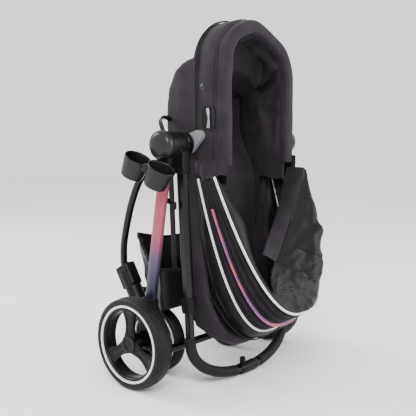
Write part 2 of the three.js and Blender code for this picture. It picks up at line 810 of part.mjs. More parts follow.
const hubShape = aroundCircles([
  [CANOPY_PIVOT.y, CANOPY_PIVOT.z, 11],
  [-92, 479, 6],
  [-134, 479, 6],
]);
const hubX = [-127, -119];
const hub = solidOf(plate(hubShape, hubX))
  .subtract(hoop(GAP))
  .subtract(solidOf(rod(3 + GAP, [-130, -115], CANOPY_PIVOT.y, CANOPY_PIVOT.z, 16)));
addPair('canopy_hub', hub, FINISH.darkPlastic);

// A bow with a link on each side that turns on the hub.
function bow({ start, tip }, linkX, pinX) {
  const line = new THREE.CatmullRomCurve3(bowLine(BOW_HALF, start, tip), false, 'centripetal');
  const wire = solidOf(sweep(line, roundSection(BOW_RADIUS, 6), 38));
  const link = plate(
    aroundCircles([
      [CANOPY_PIVOT.y, CANOPY_PIVOT.z, 7],
      [start[0], start[1], 4.5],
    ]),
    linkX,
  );
  const pin = rod(3, pinX, CANOPY_PIVOT.y, CANOPY_PIVOT.z, 16);
  return wire.add(bothSides(solidOf(link).add(solidOf(pin))));
}
const frontPinHole = solidOf(rod(3 + GAP, [-140, -100], CANOPY_PIVOT.y, CANOPY_PIVOT.z, 16));
const rearBow = bow(BOW_REAR, [-134.5, -130], [-131, -129]);
const frontBow = bow(BOW_FRONT, [-140, -135.2], [-137, -119.5]);
add('canopy_bow_rear', rearBow.subtract(bothSides(frontPinHole)), FINISH.trimWhite);
add('canopy_bow_front', frontBow, FINISH.trimWhite);

const inside = new THREE.Vector3(0, -150, 420);
const trimmed = (row, from) => row.slice(from, row.length - from);
const seamLine = bowLine(TUB_HALF - 1, [-90, 452], [-176, 104]).map((p) => {
  const bulge = 26 * Math.sin(Math.PI * THREE.MathUtils.clamp((p.z - 104) / 348, 0, 1));
  return new THREE.Vector3(p.x, p.y + bulge * Math.min(1, Math.abs(p.x) / 100), p.z);
});
const offsetLine = (bowShape, shift, half) =>
  bowLine(half, [bowShape.start[0] + shift, bowShape.start[1]], [bowShape.tip[0] + shift, bowShape.tip[1]]);
const backCover = cloth(
  trimmed(seamLine, 1),
  trimmed(offsetLine(BOW_REAR, 5, BOW_HALF - 3), 1),
  inside,
);
add('canopy_back_cover', solidOf(backCover), FINISH.mesh);

const pleats = cloth(
  trimmed(offsetLine(BOW_REAR, -5, BOW_HALF), 2),
  trimmed(offsetLine(BOW_FRONT, 5, BOW_HALF), 2),
  inside,
);
add('canopy_pleats', solidOf(pleats), FINISH.pleats);

const coverEdge = bowLine(BOW_HALF - 12, [BOW_FRONT.start[0] - 2, 460], [BOW_FRONT.tip[0] + 10, 190]);
const frontCover = cloth(
  trimmed(coverEdge, 2),
  trimmed(bowLine(HEM.half, HEM.start, HEM.tip), 2),
  new THREE.Vector3(0, -220, 420),
  4,
);
add('canopy_front_cover', solidOf(frontCover), FINISH.mesh);

export default stroller;
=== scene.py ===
# The looks of the folded pet stroller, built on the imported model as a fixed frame.
# Shapes are written in millimetres: x and y from the middle of the rear axle, z up from the floor.
# P() turns them into metres in the row frame.
import math

import bmesh
import bpy
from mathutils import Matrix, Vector, noise


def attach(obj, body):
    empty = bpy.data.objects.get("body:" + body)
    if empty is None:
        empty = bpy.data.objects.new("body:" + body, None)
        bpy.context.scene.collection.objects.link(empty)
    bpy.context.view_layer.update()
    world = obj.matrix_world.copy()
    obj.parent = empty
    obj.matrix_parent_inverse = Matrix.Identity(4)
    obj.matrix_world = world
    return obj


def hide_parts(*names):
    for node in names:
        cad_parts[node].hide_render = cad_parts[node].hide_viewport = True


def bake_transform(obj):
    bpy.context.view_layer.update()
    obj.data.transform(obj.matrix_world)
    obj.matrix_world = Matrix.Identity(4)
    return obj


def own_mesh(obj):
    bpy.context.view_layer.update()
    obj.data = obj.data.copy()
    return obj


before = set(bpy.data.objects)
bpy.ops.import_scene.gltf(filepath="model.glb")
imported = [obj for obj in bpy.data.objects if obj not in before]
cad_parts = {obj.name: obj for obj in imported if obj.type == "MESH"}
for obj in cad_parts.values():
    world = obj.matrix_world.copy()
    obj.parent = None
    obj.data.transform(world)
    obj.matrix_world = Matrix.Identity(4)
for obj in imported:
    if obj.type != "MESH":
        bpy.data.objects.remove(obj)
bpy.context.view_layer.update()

CENTRE_Y = 57.0  # the rear axle's y in the row frame
SIDES = (("left", -1), ("right", 1))


def P(x, y, z):
    return Vector((x, y + CENTRE_Y, z)) / 1000


def clamp(value):
    """The value, held between 0 and 1."""
    return min(max(value, 0), 1)


def ease(value):
    """The value, held between 0 and 1, with a soft start and a soft end."""
    value = clamp(value)
    return value * value * (3 - 2 * value)


def hump(value, middle, width):
    """1 at the middle, and close to 0 from two widths away."""
    return math.exp(-((value - middle) / width) ** 2)


def signed_power(value, power):
    """A power of the value's size, with the value's sign: it squares off a circle."""
    return math.copysign(abs(value) ** power, value)


# ------------ materials
def new_material(name):
    material = bpy.data.materials.new(name)
    material.use_nodes = True
    tree = material.node_tree
    return material, tree, tree.nodes["Principled BSDF"], tree.nodes.new("ShaderNodeTexCoord")


def link(tree, a, out, b, into):
    tree.links.new(a.outputs[out], b.inputs[into])


def dial(made, values):
    for key, value in values.items():
        made.inputs[key].default_value = value


def node(tree, kind, **values):
    """A new node. Each value goes to its socket of that name, or else to its setting."""
    made = tree.nodes.new(kind)
    for key, value in values.items():
        if key in made.inputs:
            made.inputs[key].default_value = value
        else:
            setattr(made, key, value)
    return made


def texture(tree, place, kind, **values):
    """A procedural texture in the piece's own coordinates."""
    made = node(tree, "ShaderNodeTex" + kind, **values)
    link(tree, place, "Object", made, "Vector")
    return made


def colour_by(tree, shader, source, out, *stops):
    """Colours the surface by a value, through (position, colour) stops: lowest, highest, then others."""
    ramp = tree.nodes.new("ShaderNodeValToRGB")
    elements = ramp.color_ramp.elements
    for i, (position, colour) in enumerate(stops):
        stop = elements[i] if i < 2 else elements.new(position)
        stop.position, stop.color = position, (*colour, 1)
    link(tree, source, out, ramp, "Fac")
    link(tree, ramp, "Color", shader, "Base Color")


def bump(tree, shader, strength, distance, height):
    made = node(tree, "ShaderNodeBump", Strength=strength, Distance=distance)
    tree.links.new(height, made.inputs["Height"])
    link(tree, made, "Normal", shader, "Normal")
    return made


BLOTCH_SCALE = 14.0
ROUGH_SPREAD = 0.08
GRAIN_DEPTH = 0.0004  # metres, as all bump depths


def varied(name, low, high, rough, metal, grain, grain_bump, shine=0.16):
    """Plastic, paint or rubber: colour and roughness vary in soft blotches, and the bump has a fine grain."""
    material, tree, shader, place = new_material(name)
    soft = texture(tree, place, "Noise", Scale=BLOTCH_SCALE, Detail=4.0)
    fine = texture(tree, place, "Noise", Scale=grain, Detail=3.0)
    colour_by(tree, shader, soft, "Fac", (0.35, low), (0.65, high))
    spread = node(tree, "ShaderNodeMapRange")
    dial(spread, {"To Min": rough - ROUGH_SPREAD, "To Max": rough + ROUGH_SPREAD})
    link(tree, soft, "Fac", spread, "Value")
    link(tree, spread, "Result", shader, "Roughness")
    dial(shader, {"Metallic": metal, "Specular IOR Level": shine})
    bump(tree, shader, grain_bump, GRAIN_DEPTH, fine.outputs["Fac"])
    return material


WAVE_SCALE = 6.28  # a wave texture's scale for one thread to the unit


def woven(name, low, high, thread=520.0, strength=0.35, rough=0.8, sheen=0.06, fold=0.3):
    """Woven cloth: crossing threads, a little colour change and a soft unevenness."""
    material, tree, shader, place = new_material(name)
    waves = [
        texture(tree, place, "Wave", Scale=thread / WAVE_SCALE, Distortion=1.2, Detail=1.0, bands_direction=d)
        for d in ("X", "Y", "Z")
    ]
    first = node(tree, "ShaderNodeMath", operation="ADD")
    second = node(tree, "ShaderNodeMath", operation="ADD")
    link(tree, waves[0], "Fac", first, 0)
    link(tree, waves[1], "Fac", first, 1)
    link(tree, first, "Value", second, 0)
    link(tree, waves[2], "Fac", second, 1)
    soft = texture(tree, place, "Noise", Scale=22.0, Detail=5.0)
    colour_by(tree, shader, soft, "Fac", (0.3, low), (0.7, high))
    dial(shader, {"Roughness": rough, "Specular IOR Level": 0.16, "Sheen Weight": sheen,
                  "Sheen Roughness": 0.45})
    creases = node(tree, "ShaderNodeBump", Strength=fold, Distance=0.004)
    link(tree, soft, "Fac", creases, "Height")
    weave = bump(tree, shader, strength, 0.0003, second.outputs["Value"])
    link(tree, creases, "Normal", weave, "Normal")
    return material


def netting(name, thread, hole):
    """Mesh cloth: round holes in rows between the threads, painted darker than the threads as painted shade
    seen through them.
    """
    material, tree, shader, place = new_material(name)
    cells = texture(tree, place, "Voronoi", Scale=330.0, Randomness=0.25)
    colour_by(tree, shader, cells, "Distance", (0.25, hole), (0.5, thread))
    dial(shader, {"Roughness": 0.42, "Sheen Weight": 0.02, "Specular IOR Level": 0.18})
    bump(tree, shader, 0.4, 0.0005, cells.outputs["Distance"])
    return material


def ribbed(name, low, high, scale, rough):
    """Webbing or a zip: fine ribs across it."""
    material, tree, shader, place = new_material(name)
    wave = texture(tree, place, "Wave", Scale=scale, Distortion=0.4, bands_direction="Z")
    colour_by(tree, shader, wave, "Fac", (0.2, low), (0.8, high))
    dial(shader, {"Roughness": rough, "Specular IOR Level": 0.15})
    bump(tree, shader, 0.5, 0.0006, wave.outputs["Fac"])
    return material


def shifting(name, first, middle, last):
    """Shiny tape whose colour drifts between three tones in soft patches."""
    material, tree, shader, place = new_material(name)
    soft = texture(tree, place, "Noise", Scale=16.0, Detail=2.0)
    colour_by(tree, shader, soft, "Fac", (0.36, first), (0.64, last), (0.5, middle))
    dial(shader, {"Roughness": 0.4})
    fine = texture(tree, place, "Noise", Scale=1200.0)
    bump(tree, shader, 0.2, 0.0003, fine.outputs["Fac"])
    return material


FADE_LOW, FADE_HIGH = 0.16, 0.46  # metres above the floor
PINK, NAVY = (0.33, 0.046, 0.075), (0.006, 0.006, 0.012)
FADE = ((0.24, (0.014, 0.013, 0.032)), (0.44, (0.066, 0.048, 0.085)), (0.60, (0.27, 0.055, 0.090)))


def fading_paint(name):
    """Metallic paint that fades with height, pink above and navy below."""
    material, tree, shader, place = new_material(name)
    split = node(tree, "ShaderNodeSeparateXYZ")
    link(tree, place, "Object", split, "Vector")
    height = node(tree, "ShaderNodeMapRange")
    dial(height, {"From Min": FADE_LOW, "From Max": FADE_HIGH})
    link(tree, split, "Z", height, "Value")
    colour_by(tree, shader, height, "Result", (0.0, NAVY), (1.0, PINK), *FADE)
    flakes = texture(tree, place, "Noise", Scale=1600.0, Detail=2.0)
    dial(shader, {"Metallic": 0.1, "Roughness": 0.3, "Coat Weight": 0.1, "Specular IOR Level": 0.3,
                  "Coat Roughness": 0.12})
    bump(tree, shader, 0.05, 0.0002, flakes.outputs["Fac"])
    return material


M = {
    "frame": varied("black_paint", (0.002, 0.002, 0.0025), (0.0045, 0.0045, 0.0055),
                    0.26, 0.1, 1500, 0.06, shine=0.3),
    "plastic": varied("black_plastic", (0.0022, 0.0022, 0.0026), (0.005, 0.005, 0.0058),
                      0.42, 0.0, 1100, 0.2),
    "hinge": varied("hinge_plastic", (0.0075, 0.0072, 0.0084), (0.012, 0.0115, 0.013),
                    0.32, 0.0, 1300, 0.1, shine=0.3),
    "cup": varied("cup_plastic", (0.0052, 0.0052, 0.0058), (0.009, 0.009, 0.010),
                  0.32, 0.0, 1100, 0.12, shine=0.25),
    "rubber": varied("tyre_rubber", (0.0042, 0.0042, 0.0048), (0.0085, 0.0085, 0.0095),
                     0.5, 0.0, 700, 0.35),
    "grip": varied("grip_foam", (0.0035, 0.0034, 0.004), (0.0075, 0.0072, 0.008), 0.55, 0.0, 1400, 0.6),
    "white": varied("white_trim", (0.62, 0.62, 0.62), (0.74, 0.74, 0.74), 0.36, 0.0, 900, 0.08),
    "cream": varied("cream_trim", (0.50, 0.46, 0.41), (0.60, 0.56, 0.50), 0.42, 0.0, 900, 0.08),
    "rim": varied("rim_plastic", (0.0022, 0.0022, 0.0026), (0.0052, 0.0052, 0.006), 0.32, 0.0, 1200, 0.12),
    "steel": varied("plain_steel", (0.42, 0.43, 0.44), (0.55, 0.56, 0.57), 0.28, 1.0, 1800, 0.1),
    "adapter": varied("adapter_plastic", (0.15, 0.148, 0.155), (0.19, 0.186, 0.195), 0.48, 0.0, 1000, 0.15),
    "cloth": woven("grey_cloth", (0.0130, 0.0098, 0.0128), (0.0225, 0.0178, 0.0222)),
    "lining": woven("lining_cloth", (0.0100, 0.0078, 0.0102), (0.0190, 0.0152, 0.0190),
                    620, 0.25, 0.7, 0.06, 0.4),
    "dark": woven("black_cloth", (0.003, 0.003, 0.0035), (0.006, 0.0055, 0.0065), 560, 0.3, 0.8, 0.04),
    "pleat": woven("pleat_cloth", (0.0045, 0.0034, 0.0046), (0.0125, 0.0092, 0.0120), 560, 0.3, 0.75, 0.05),
    # The net's second colour is painted shade in its holes.
    "net": netting("black_net", (0.0040, 0.0037, 0.0042), (0.0010, 0.0009, 0.0011)),
    "zip": ribbed("black_zip", (0.002, 0.002, 0.0025), (0.011, 0.011, 0.012), 180.0, 0.5),
    "web": ribbed("webbing", (0.003, 0.003, 0.0035), (0.010, 0.010, 0.011), 140.0, 0.6),
    "pink": shifting("pink_tape", (0.42, 0.10, 0.13), (0.16, 0.085, 0.24), (0.46, 0.11, 0.14)),
    "piping": woven("white_piping", (0.60, 0.58, 0.58), (0.72, 0.71, 0.71), 700, 0.25, 0.6, 0.1, 0.1),
    "leg": fading_paint("fading_paint"),
}


# ------------ mesh helpers
def piece(name, verts, faces, material, body, slot, replaces=(), sharp=None):
    mesh = bpy.data.meshes.new(name)
    mesh.from_pydata([tuple(v) for v in verts], [], faces)
    return finish_piece(name, mesh, material, body, replaces, sharp)


def finish_piece(name, mesh, material, body, replaces=(), sharp=None):
    """Turns a mesh into a piece that rides on a body; when body is a tuple, it stays where it is built and
    rides on neither.
    """
    bm = bmesh.new()
    bm.from_mesh(mesh)
    bmesh.ops.recalc_face_normals(bm, faces=bm.faces)
    bm.to_mesh(mesh)
    bm.free()
    for polygon in mesh.polygons:
        polygon.use_smooth = True
    if sharp is not None:
        mesh.set_sharp_from_angle(angle=math.radians(sharp))
    mesh.materials.append(M[material])
    made = bpy.data.objects.new(name, mesh)
    bpy.context.scene.collection.objects.link(made)
    if isinstance(body, tuple):
        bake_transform(made)
    else:
        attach(made, body)
    if replaces:
        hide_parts(*replaces)
    return made


def grid(rows, closed_rows=False, closed_cols=False, cap=False):
    """Vertices and faces of a surface through rows of points."""
    n, m = len(rows), len(rows[0])
    verts = [p for row in rows for p in row]
    faces = []
    for i in range(n if closed_rows else n - 1):
        for j in range(m if closed_cols else m - 1):
            a, b = i * m + j, i * m + (j + 1) % m
            c, d = ((i + 1) % n) * m + (j + 1) % m, ((i + 1) % n) * m + j
            faces.append((a, b, c, d))
    if cap:
        faces.append(tuple(range(m)))
        faces.append(tuple((n - 1) * m + j for j in reversed(range(m))))
    return verts, faces


def catmull(points, steps):
    """A smooth line through points, in evenly counted steps."""
    out = []
    last = len(points) - 1
    for k in range(steps + 1):
        t = k / steps * last
        i = min(int(t), last - 1)
        f = t - i
        a, b, c, d = (points[min(max(i + s, 0), last)] for s in (-1, 0, 1, 2))
        squared = (2 * a - 5 * b + 4 * c - d) * f * f
        cubed = (3 * b - a - 3 * c + d) * f ** 3
        out.append(0.5 * (2 * b + (c - a) * f + squared + cubed))
    return out


def spaced(points, count):
    """count + 1 points at even distances along a line."""
    lengths = [0.0]
    for a, b in zip(points, points[1:]):
        lengths.append(lengths[-1] + (b - a).length)
    out, i = [], 0
    for k in range(count + 1):
        want = lengths[-1] * k / count
        while i < len(points) - 2 and lengths[i + 1] < want:
            i += 1
        span = max(lengths[i + 1] - lengths[i], 1e-9)
        out.append(points[i].lerp(points[i + 1], clamp((want - lengths[i]) / span)))
    return out


RIGHT = Vector((1, 0, 0))


def swept(points, section, across=RIGHT):
    """Rows of a section, [(a, b)] in mm, carried along points. a goes along across, kept square to the line.

    A section that changes on the way is a function of how far along it is, from 0 to 1.
    """
    rows = []
    side = across.copy()
    for i, point in enumerate(points):
        ahead = (points[min(i + 1, len(points) - 1)] - points[max(i - 1, 0)]).normalized()
        side = (side - ahead * side.dot(ahead)).normalized()
        other = ahead.cross(side)
        shape = section(i / (len(points) - 1)) if callable(section) else section
        rows.append([point + (side * a + other * b) / 1000 for a, b in shape])
    return rows


def circle(radius, sides):
    turns = (2 * math.pi * k / sides for k in range(sides))
    return [(radius * math.cos(turn), radius * math.sin(turn)) for turn in turns]


def rounded(half_a, half_b, corner, per):
    """A rectangle's section with round corners of per steps each."""
    out = []
    for ca, cb, start in ((1, 1, 0), (-1, 1, 90), (-1, -1, 180), (1, -1, 270)):
        for k in range(per + 1):
            angle = math.radians(start + 90 * k / per)
            a = ca * (half_a - corner) + corner * math.cos(angle)
            b = cb * (half_b - corner) + corner * math.sin(angle)
            out.append((a, b))
    return out


def tube(name, points, section, material, body, slot, replaces=(), across=RIGHT, sharp=50):
    verts, faces = grid(swept(points, section, across), closed_cols=True, cap=True)
    return piece(name, verts, faces, material, body, slot, replaces, sharp)


def turned(profile, centre, side, segments, lift=None):
    """A turned shape about X, from [(radius, outwards)]. side is the way out, -1 or 1."""
    rows = []
    for k in range(segments):
        angle = 2 * math.pi * k / segments
        row = []
        for radius, out in profile:
            r = radius + (lift(radius, out, angle) if lift else 0)
            x, y, z = side * out, r * math.cos(angle), r * math.sin(angle)
            row.append(P(centre[0] + x, centre[1] + y, centre[2] + z))
        rows.append(row)
    return grid(rows, closed_rows=True, closed_cols=True)


def lathe(name, profile, centre, side, material, body, slot, replaces=(), segments=72, lift=None, sharp=38):
    verts, faces = turned(profile, centre, side, segments, lift)
    return piece(name, verts, faces, material, body, slot, replaces, sharp)


def join_meshes(name, parts, material, body, slot, replaces=(), sharp=38):
    verts, faces = [], []
    for part_verts, part_faces in parts:
        shift = len(verts)
        verts += part_verts
        faces += [tuple(i + shift for i in face) for face in part_faces]
    return piece(name, verts, faces, material, body, slot, replaces, sharp)


WELD = 1e-5  # metres between corners that count as one


def welded(cad_node, name):
    """A copy of a CAD solid's mesh, with its corners joined and no material."""
    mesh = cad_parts[cad_node].data.copy()
    mesh.name = name
    mesh.materials.clear()
    bm = bmesh.new()
    bm.from_mesh(mesh)
    bmesh.ops.remove_doubles(bm, verts=bm.verts, dist=WELD)
    bm.to_mesh(mesh)
    bm.free()
    return mesh


def round_over(obj, voxel, rounds):
    """An even mesh with its edges rounded over. voxel is in metres."""
    remesh = obj.modifiers.new("even", "REMESH")
    remesh.mode = "VOXEL"
    remesh.voxel_size = voxel
    remesh.use_smooth_shade = True
    smooth = obj.modifiers.new("rounded", "SMOOTH")
    smooth.factor = 0.5
    smooth.iterations = rounds


def moulded(cad_node, material, body, voxel=0.0016, rounds=3):
    """A CAD solid with its edges rounded over, as an injection moulding has them."""
    name = cad_node + "_moulded"
    made = finish_piece(name, welded(cad_node, name), material, body, [cad_node])
    round_over(made, voxel, rounds)


def resurface(cad_node, material):
    """Gives a CAD piece that keeps its shape a better surface."""
    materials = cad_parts[cad_node].data.materials
    materials.clear()
    materials.append(M[material])


def thick(obj, millimetres, offset=0.0):
    """Gives a cloth surface its thickness, centred on it at offset 0 and outside it at 1."""
    solid = obj.modifiers.new("thickness", "SOLIDIFY")
    solid.thickness = millimetres / 1000
    solid.offset = offset


def wrinkle(point, size, seed):
    """A repeatable unevenness between about -1.5 and 1.5 for a point in metres; size is in mm."""
    q = point * (1000 / size) + Vector((seed, 2.7 * seed, -1.3 * seed))
    return noise.noise(q) + 0.5 * noise.noise(q * 2.1)


# ------------ wheels
TREAD_WAVES = 22
SPOKES = 3
SPOKE_START = 88  # degrees from +Y to the first spoke
# Where the lines along a spoke lie across it, in half widths; the middle ones are in its groove.
SPOKE_LINES = (-1, -0.94, -0.8, -0.55, -0.42, -0.2, 0.0, 0.2, 0.42, 0.55, 0.8, 0.94, 1)


def wheel(prefix, side_name, side, centre, trim_material, radius, half, inner, outer):
    """A tyre, a trim ring from radius inner to outer, and a rim. half is half the tyre's width."""
    body = f"{prefix}_wheel_{side_name}"
    names = {k: f"{prefix}_{k}_{side_name}" for k in ("tyre", "trim_ring", "rim")}
    shoulder = radius - outer
    tread = [(radius - 2 * (abs(k) / 8) ** 4, 0.62 * half * k / 8) for k in range(-8, 9)]
    profile = [
        (inner, 9 - half), (inner, 3 - half), (outer - 3, 1 - half), (outer + 0.3 * shoulder, -half),
        (outer + 0.62 * shoulder, 1 - half), (outer + 0.85 * shoulder, 3.2 - half),
        *tread,
        (outer + 0.85 * shoulder, half - 3.2), (outer + 0.62 * shoulder, half - 1),
        (outer + 0.3 * shoulder, half), (outer + 1.2, half - 0.6), (outer + 0.4, half - 1.4),
        (outer + 0.4, half - 9), (inner, half - 9),
    ]

    def grooves(r, out, angle):
        if abs(out) > 0.64 * half or r < radius - 4:
            return 0.0
        swing = 0.16 * half * math.sin(TREAD_WAVES * angle)
        return -1.5 * sum(hump(out, line + swing, 0.07 * half) for line in (-0.36 * half, 0.36 * half))

    lathe(names["tyre"] + "_moulded", profile, centre, side, "rubber", body, "tyre", [names["tyre"]],
          176, grooves, 60)
    trim = [
        (inner + 0.4, half - 8.5), (inner + 0.4, half - 1.6), (inner + 1.3, half - 0.4),
        (outer - 1.2, half - 0.4), (outer, half - 1.4), (outer, half - 8.5),
    ]
    lathe(names["trim_ring"] + "_moulded", trim, centre, side, trim_material, body, "trim_white",
          [names["trim_ring"]], 96)

    edge = inner - 0.4
    barrel = [
        (edge, 6 - half), (edge, half - 3), (edge - 1.5, half - 2.2), (edge - 4, half - 3.4),
        (edge - 6, half - 7), (edge - 6.5, 0), (edge - 5.5, 8 - half), (edge - 2, 5 - half),
    ]
    hub = 0.26 * edge
    face = half - 3
    cap = [
        (0.2, face - 4), (0.55 * hub, face - 4), (0.62 * hub, face - 2.6), (0.8 * hub, face - 2),
        (0.95 * hub, face - 3), (hub, face - 6), (1.05 * hub, face - 12), (hub, 3 - half),
        (0.6 * hub, 2 - half), (0.2, 2 - half),
    ]
    parts = [turned(barrel, centre, side, 96), turned(cap, centre, side, 48)]
    for k in range(SPOKES):
        angle = math.radians(SPOKE_START + 360 / SPOKES * k)
        along = Vector((0, math.cos(angle), math.sin(angle)))
        across = Vector((0, -math.sin(angle), math.cos(angle)))
        rows = []
        for i in range(13):
            t = i / 12
            reach = hub * 0.7 + (edge - 4 - hub * 0.7) * t
            wide = edge * (0.21 - 0.06 * math.sin(math.pi * min(t * 1.15, 1.0)) + 0.06 * t ** 3)
            top = face - 4 - 1.5 * math.sin(math.pi * t)
            ring = []
            for s in SPOKE_LINES:
                groove = 2.6 if abs(s) < 0.45 and 0.12 < t < 0.9 else 0.0
                drop = 3.0 * abs(s) ** 6 + groove
                ring.append((s * wide, top - drop))
            ring += [(0.92 * wide, top - 9), (-0.92 * wide, top - 9)]
            rows.append([
                P(*centre) + (along * reach + across * a) / 1000 + RIGHT * (side * out / 1000)
                for a, out in ring
            ])
        parts.append(grid(rows, closed_cols=True, cap=True))
    join_meshes(names["rim"] + "_moulded", parts, "rim", body, "rim_black", [names["rim"]])


AXLE_Z, FRONT_AXLE_Z = 102, 78  # the wheels' own radii
for name, side in SIDES:
    wheel("rear", name, side, (side * 244, 0, AXLE_Z), "white", radius=AXLE_Z, half=22, inner=81, outer=86.5)
    wheel("front", name, side, (side * 129, 40, FRONT_AXLE_Z), "cream", radius=FRONT_AXLE_Z, half=16,
          inner=61, outer=66)

# ------------ rear legs, feet, hinges
HINGE = (-70, 537)  # y and z of the fold's main pivot
LEG_X = 205
LEG_LENGTH = math.hypot(HINGE[0], HINGE[1] - AXLE_Z)
LEG_TILT = math.atan2(-HINGE[0], HINGE[1] - AXLE_Z)


def on_leg(x, y, z):
    """A point in the leg's own frame, z up the leg from the rear axle."""
    c, s = math.cos(LEG_TILT), math.sin(LEG_TILT)
    return P(x, y * c - z * s, AXLE_Z + y * s + z * c)


LEG_SECTION = [(8, 6), (8, -6), (5.6, -12.6), (3, -13.5), (-3, -13.5), (-5.6, -12.6), (-8, -6), (-8, 6),
               (-5.6, 12.6), (-3, 13.5), (3, 13.5), (5.6, 12.6)]
LEG_SHOWS = (70, 110)  # what the foot hides at the bottom, and what both ends hide together
for name, side in SIDES:
    line = [on_leg(side * LEG_X, 0, LEG_SHOWS[0] + (LEG_LENGTH - LEG_SHOWS[1]) * k / 12) for k in range(13)]
    tube(f"leg_{name}", line, LEG_SECTION, "leg", "frame", "leg_pink", [f"rear_leg_{name}"], sharp=20)
    moulded(f"rear_foot_{name}", "plastic", "frame")
    moulded(f"hinge_housing_{name}", "plastic", "frame")
    cap = [(0.2, 216), (28.8, 216), (30.4, 217.5), (30.9, 222), (30.5, 227), (29.2, 230.4), (26.5, 232.4),
           (25.4, 231.7), (24.4, 232.6), (18, 234.2), (9, 235), (0.2, 235.2)]
    lathe(f"cap_{name}", cap, (0, *HINGE), side, "hinge", "frame", "hinge_plastic", [f"hinge_cap_{name}"], 80)
    resurface(f"rear_axle_{name}", "steel")
    resurface(f"hinge_pin_{name}", "steel")

# A wire and a strap arch from the left hinge to the carrier.
LOOP = ((-205, -62, 566), (-203, -53, 581), (-196, -43, 591), (-178, -30, 597), (-150, -16, 598),
        (-127, -10, 592))
wire_loop = catmull([P(*point) for point in LOOP], 36)
ACROSS_LOOP = ("frame", "carrier", P(*LOOP[0]), P(*LOOP[-1]))
tube("hinge_wire_loop", wire_loop, circle(1.7, 10), "frame", ACROSS_LOOP, "black_frame")
strap_loop = [p + Vector((0.001, 0.006, -0.003)) for p in wire_loop]
tube("hinge_strap_loop", strap_loop, rounded(0.9, 4, 0.8, 2), "web", ACROSS_LOOP, "black_fabric")
moulded("cup_holder", "cup", "frame", 0.0017, 4)
moulded("fold_lock_hook", "plastic", "fold_catch", 0.0012, 2)
moulded("brake_pedal", "plastic", "brake", 0.0015, 3)
UP = Vector((0, 0, 1))
CROSSBAR_HALF = 206.6
crossbar = [P(CROSSBAR_HALF * (k / 5 - 1), -52, 84) for k in range(11)]
tube("crossbar", crossbar, circle(9, 28), "frame", "frame", "black_frame", ["rear_crossbar"], UP)

# ------------ handle
ARM_TILT = math.radians(-3.4)
ARM_X, ARM_Y = 175, -11


def on_arm(x, y, z):
    """A point in the handle's own frame, z up from the hinge, so that the arms hang to negative z."""
    c, s = math.cos(ARM_TILT), math.sin(ARM_TILT)
    return P(x, HINGE[0] + y * c - z * s, HINGE[1] + y * s + z * c)


# The handle bar's lowest point, the height of its turn, how square the turn is and how far it bows back.
BAR_DEPTH, BAR_RISE, BAR_POWER, BAR_BOW = -526.3, 94, 2.25, 15
BAR_LEGS = (-150, -200, -260, -320, -380, -420)
BAR_STEPS = 60
CASE_HALF, GRIP_START, CASE_CUT = 0.0345, 0.0355, 0.045  # metres from the bar's middle


def bar_point(k):
    """A point on the bar's turn, k steps of BAR_STEPS on from its left end."""
    angle = math.pi * k / BAR_STEPS
    across = signed_power(math.cos(angle), 2 / BAR_POWER)
    down = max(math.sin(angle), 0) ** (2 / BAR_POWER)
    return on_arm(-ARM_X * across, ARM_Y - BAR_BOW * down ** 2, BAR_DEPTH + BAR_RISE * (1 - down))


def collar_section(t):
    return rounded(12 - 1.2 * t ** 4, 16.5 - 1.6 * t ** 4, 9, 6)


def grip_section(t):
    """Ribbed foam that starts a little narrower."""
    rib = 0.5 + 0.5 * math.cos(2 * math.pi * t * 60)
    return circle(12.5 - 1.6 * max(0.0, 1 - t / 0.03) - 0.25 * rib, 26)


def case_section(t):
    return circle(13.2 - 1.4 * abs(2 * t - 1) ** 8, 30)


def button_section(t):
    return circle(6.8 - 3.2 * max(0, (t - 0.55) / 0.45) ** 3, 24)


bar_line = [on_arm(-ARM_X, ARM_Y, z) for z in BAR_LEGS]
bar_line += [bar_point(k) for k in range(BAR_STEPS + 1)]
bar_line += [on_arm(ARM_X, ARM_Y, z) for z in reversed(BAR_LEGS)]
tube("handle_tube", spaced(bar_line, 150), rounded(6.5, 11, 6, 4), "frame", "handle_slider", "black_frame",
     ["handle_bar"])
for name, side in SIDES:
    line = [on_arm(side * ARM_X, ARM_Y, -24 - 321 * k / 10) for k in range(11)]
    tube(f"arm_{name}", line, rounded(9, 13.5, 8.4, 6), "frame", "handle", "black_frame",
         [f"handle_arm_{name}"])
    line = [on_arm(side * ARM_X, ARM_Y, -331 - 34 * k / 6) for k in range(7)]
    tube(f"collar_{name}", line, collar_section, "plastic", "handle", "dark_plastic",
         [f"handle_collar_{name}"])
    moulded(f"handle_knuckle_{name}", "plastic", "handle")
    half = [on_arm(side * ARM_X, ARM_Y, z) for z in (-420, -426)]
    half += [bar_point(k if side < 0 else BAR_STEPS - k) for k in range(1, BAR_STEPS // 2 + 1)]
    half = spaced([p for p in half if abs(p.x) > GRIP_START], 60)
    tube(f"grip_{name}", half, grip_section, "grip", "handle_slider", "grip", [f"handle_grip_{name}"],
         sharp=70)
case_line = spaced([p for p in bar_line if abs(p.x) < CASE_CUT], 24)
case_line = [p for p in case_line if abs(p.x) < CASE_HALF]
tube("release_case", case_line, case_section, "plastic", "handle_slider", "dark_plastic",
     ["handle_release_case"])
button_line = [on_arm(-16, ARM_Y - BAR_BOW, BAR_DEPTH + h) for h in (12.6, 15, 20, 24, 26, 26.9, 27.2)]
tube("button", button_line, button_section, "plastic", "release_button", "dark_plastic", ["handle_button"])

